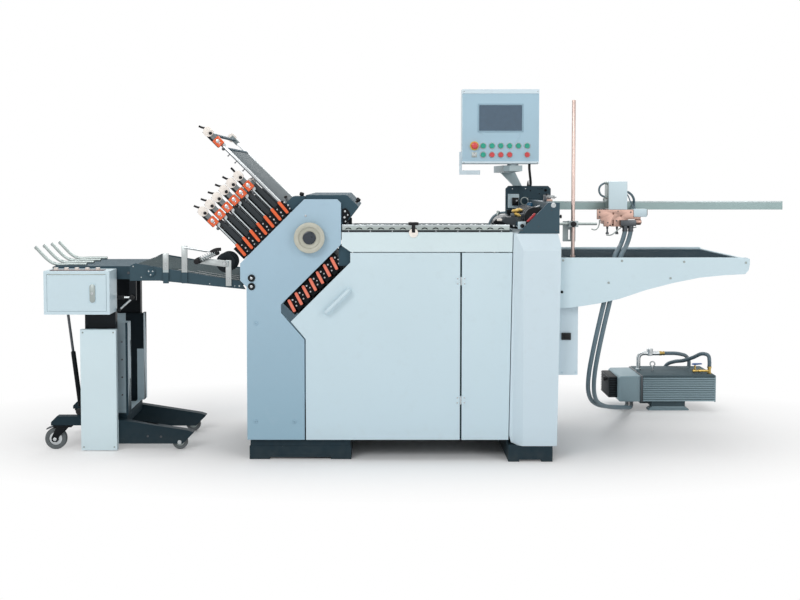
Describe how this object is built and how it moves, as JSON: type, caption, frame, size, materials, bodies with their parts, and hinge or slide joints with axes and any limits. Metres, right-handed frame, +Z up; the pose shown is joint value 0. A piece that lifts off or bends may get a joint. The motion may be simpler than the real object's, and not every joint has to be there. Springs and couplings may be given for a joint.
{
  "type": "paper folding machine",
  "caption": "Floor-standing buckle-plate paper folder with pile feeder, register table, roller unit, wheeled delivery stand and vacuum pump with hoses.",
  "frame": {"origin": "centre of the underside of the folding unit plinth, on the floor", "axes": "+X towards the pile feeder, +Y away from the operator, +Z up"},
  "size_m": [3.424, 1.367, 1.6305],
  "materials": {
    "foot_black": "satin",
    "plate_blue": "satin",
    "panel_white": "satin painted",
    "frame_dark": "satin",
    "hood_dark": "matte",
    "roller_steel": "satin",
    "plate_steel": "satin",
    "wheel_cream": "satin",
    "bright_steel": "polished",
    "drum_rubber": "matte",
    "housing_white": "satin",
    "screen": "gloss",
    "button_green": "gloss",
    "button_red": "gloss",
    "black_rubber": "matte",
    "gear_copper": "anodised",
    "guide_metal": "satin",
    "pump_grey": "cast and painted",
    "hose_grey": "matte",
    "wheel_rubber": "matte",
    "black_metal": "satin",
    "spring_steel": "bright"
  },
  "bodies": {
    "machine": {"folder_plinth": "hood_dark", "feeder_foot": "hood_dark", "side_plate_near": "plate_blue", "side_plate_far": "plate_blue", "infeed_hood": "hood_dark", "fold_rollers": "roller_steel", "upper_buckle_plates": "plate_steel", "lower_buckle_plates": "plate_steel", "cabinet_frame": "frame_dark", "front_panel": "panel_white", "rear_panel": "panel_white", "register_table": "plate_steel", "ball_rail": "guide_metal", "feeder_column": "panel_white", "feeder_head_frame": "frame_dark", "tray_walls": "panel_white", "tray_bed": "hood_dark", "pump": "pump_grey", "vacuum_hose": "hose_grey", "blow_hose": "hose_grey", "panel_cable": "black_rubber"},
    "long_plate": {"long_buckle_plate": "plate_steel"},
    "hand_wheel": {"hand_wheel": "wheel_cream"},
    "side_button_upper": {"side_button_upper": "bright_steel"},
    "side_button_lower": {"side_button_lower": "bright_steel"},
    "cabinet_door": {"cabinet_door": "panel_white"},
    "feed_drum": {"feed_drum": "drum_rubber"},
    "panel": {"panel_housing": "housing_white", "touch_screen": "screen"},
    "emergency_stop": {"emergency_stop": "button_red"},
    "suction_head": {"suction_head": "housing_white", "separator_gear": "gear_copper"},
    "side_guide": {"side_guide": "guide_metal"},
    "delivery": {"delivery_base": "frame_dark"},
    "caster_fork_near": {"caster_fork_near": "black_metal"},
    "caster_fork_far": {"caster_fork_far": "black_metal"},
    "caster_wheel_near": {"caster_wheel_near": "wheel_rubber"},
    "caster_wheel_far": {"caster_wheel_far": "wheel_rubber"},
    "leg_wheel_near": {"leg_wheel_near": "wheel_rubber"},
    "leg_wheel_far": {"leg_wheel_far": "wheel_rubber"},
    "lift": {"lift_frame": "plate_steel", "control_box": "panel_white"},
    "control_box_door": {"control_box_door": "panel_white"},
    "height_crank": {"height_crank": "black_metal"},
    "strut_cylinder": {"strut_cylinder": "black_metal"},
    "strut_rod": {"strut_rod": "black_metal"},
    "bridge": {"bridge_frame": "frame_dark", "press_spring": "spring_steel"},
    "press_wheels": {"press_wheels": "wheel_rubber"},
    "green_button_1": {"green_button_1": "button_green"},
    "green_button_2": {"green_button_2": "button_green"},
    "green_button_3": {"green_button_3": "button_green"},
    "green_button_4": {"green_button_4": "button_green"},
    "green_button_5": {"green_button_5": "button_green"},
    "green_button_6": {"green_button_6": "button_green"},
    "green_button_7": {"green_button_7": "button_green"},
    "red_button_1": {"red_button_1": "button_red"},
    "red_button_2": {"red_button_2": "button_red"},
    "red_button_3": {"red_button_3": "button_red"},
    "red_button_4": {"red_button_4": "button_red"}
  },
  "joints": [
    {"name": "long_plate_slide", "type": "slide", "parent": "machine", "child": "long_plate", "axis": [-0.7071, 0, 0.7071], "range_m": [0, 0.35]},
    {"name": "hand_wheel_turn", "type": "hinge", "parent": "machine", "child": "hand_wheel", "pos_m": [0.044, -0.388, 0.969], "axis": [0, 1, 0], "continuous": true},
    {"name": "side_button_upper_press", "type": "slide", "parent": "machine", "child": "side_button_upper", "axis": [0, 1, 0], "range_m": [0, 0.003], "stiffness_N_per_m": 300},
    {"name": "side_button_lower_press", "type": "slide", "parent": "machine", "child": "side_button_lower", "axis": [0, 1, 0], "range_m": [0, 0.003], "stiffness_N_per_m": 300},
    {"name": "cabinet_door_hinge", "type": "hinge", "parent": "machine", "child": "cabinet_door", "pos_m": [0.697, -0.372, 0.5], "axis": [0, 0, 1], "range_deg": [0, 110]},
    {"name": "feed_drum_turn", "type": "hinge", "parent": "machine", "child": "feed_drum", "pos_m": [1.04, 0, 1.048], "axis": [0, 1, 0], "continuous": true},
    {"name": "panel_swivel", "type": "hinge", "parent": "machine", "child": "panel", "pos_m": [0.96, -0.021, 1.287], "axis": [0, 0, 1], "range_deg": [-60, 60]},
    {"name": "emergency_stop_press", "type": "slide", "parent": "panel", "child": "emergency_stop", "axis": [0, 1, 0], "range_m": [0, 0.004], "stiffness_N_per_m": 800},
    {"name": "suction_head_slide", "type": "slide", "parent": "machine", "child": "suction_head", "axis": [1, 0, 0], "range_m": [-0.1, 0.35]},
    {"name": "side_guide_slide", "type": "slide", "parent": "machine", "child": "side_guide", "axis": [0, 0, 1], "range_m": [-0.065, 0.45]},
    {"name": "delivery_roll", "type": "slide", "parent": "machine", "child": "delivery", "axis": [1, 0, 0], "range_m": [-0.5, 0]},
    {"name": "caster_swivel_near", "type": "hinge", "parent": "delivery", "child": "caster_fork_near", "pos_m": [-1.085, -0.174, 0.11], "axis": [0, 0, 1], "continuous": true},
    {"name": "caster_swivel_far", "type": "hinge", "parent": "delivery", "child": "caster_fork_far", "pos_m": [-1.085, 0.174, 0.11], "axis": [0, 0, 1], "continuous": true},
    {"name": "caster_roll_near", "type": "hinge", "parent": "caster_fork_near", "child": "caster_wheel_near", "pos_m": [-1.118, -0.174, 0.049], "axis": [0, 1, 0], "continuous": true},
    {"name": "caster_roll_far", "type": "hinge", "parent": "caster_fork_far", "child": "caster_wheel_far", "pos_m": [-1.052, 0.174, 0.049], "axis": [0, 1, 0], "continuous": true},
    {"name": "leg_roll_near", "type": "hinge", "parent": "delivery", "child": "leg_wheel_near", "pos_m": [-0.557, -0.174, 0.035], "axis": [0, 1, 0], "continuous": true},
    {"name": "leg_roll_far", "type": "hinge", "parent": "delivery", "child": "leg_wheel_far", "pos_m": [-0.557, 0.174, 0.035], "axis": [0, 1, 0], "continuous": true},
    {"name": "lift_height", "type": "slide", "parent": "delivery", "child": "lift", "axis": [0, 0, 1], "range_m": [-0.07, 0.01]},
    {"name": "control_box_hinge", "type": "hinge", "parent": "lift", "child": "control_box_door", "pos_m": [-1.106, -0.32, 0.72], "axis": [0, 0, 1], "range_deg": [-110, 0]},
    {"name": "crank_turn", "type": "hinge", "parent": "lift", "child": "height_crank", "pos_m": [-0.762, -0.2, 0.692], "axis": [0, 1, 0], "range_deg": [-640, 100]},
    {"name": "strut_lean", "type": "hinge", "parent": "delivery", "child": "strut_cylinder", "pos_m": [-1.006, -0.1715, 0.185], "axis": [0, 1, 0], "range_deg": [-1.5, 1]},
    {"name": "strut_stroke", "type": "slide", "parent": "strut_cylinder", "child": "strut_rod", "axis": [-0.1221, 0, 0.9925], "range_m": [-0.08, 0.02]},
    {"name": "bridge_tilt", "type": "hinge", "parent": "lift", "child": "bridge", "pos_m": [-0.657, 0, 0.812], "axis": [0, 1, 0], "range_deg": [-1.5, 10]},
    {"name": "press_wheel_turn", "type": "hinge", "parent": "bridge", "child": "press_wheels", "pos_m": [-0.333, 0, 0.852], "axis": [0, 1, 0], "continuous": true},
    {"name": "green_button_1_press", "type": "slide", "parent": "panel", "child": "green_button_1", "axis": [0, 1, 0], "range_m": [0, 0.003], "stiffness_N_per_m": 300},
    {"name": "green_button_2_press", "type": "slide", "parent": "panel", "child": "green_button_2", "axis": [0, 1, 0], "range_m": [0, 0.003], "stiffness_N_per_m": 300},
    {"name": "green_button_3_press", "type": "slide", "parent": "panel", "child": "green_button_3", "axis": [0, 1, 0], "range_m": [0, 0.003], "stiffness_N_per_m": 300},
    {"name": "green_button_4_press", "type": "slide", "parent": "panel", "child": "green_button_4", "axis": [0, 1, 0], "range_m": [0, 0.003], "stiffness_N_per_m": 300},
    {"name": "green_button_5_press", "type": "slide", "parent": "panel", "child": "green_button_5", "axis": [0, 1, 0], "range_m": [0, 0.003], "stiffness_N_per_m": 300},
    {"name": "green_button_6_press", "type": "slide", "parent": "panel", "child": "green_button_6", "axis": [0, 1, 0], "range_m": [0, 0.003], "stiffness_N_per_m": 300},
    {"name": "green_button_7_press", "type": "slide", "parent": "panel", "child": "green_button_7", "axis": [0, 1, 0], "range_m": [0, 0.003], "stiffness_N_per_m": 300},
    {"name": "red_button_1_press", "type": "slide", "parent": "panel", "child": "red_button_1", "axis": [0, 1, 0], "range_m": [0, 0.003], "stiffness_N_per_m": 300},
    {"name": "red_button_2_press", "type": "slide", "parent": "panel", "child": "red_button_2", "axis": [0, 1, 0], "range_m": [0, 0.003], "stiffness_N_per_m": 300},
    {"name": "red_button_3_press", "type": "slide", "parent": "panel", "child": "red_button_3", "axis": [0, 1, 0], "range_m": [0, 0.003], "stiffness_N_per_m": 300},
    {"name": "red_button_4_press", "type": "slide", "parent": "panel", "child": "red_button_4", "axis": [0, 1, 0], "range_m": [0, 0.003], "stiffness_N_per_m": 300}
  ],
  "couplings": [
    {"joint": "crank_turn", "follows": "lift_height", "rad_per_m": 157.08},
    {"joint": "strut_lean", "follows": "lift_height", "rad_per_m": 0.21},
    {"joint": "strut_stroke", "follows": "lift_height", "ratio": 0.9925}
  ]
}
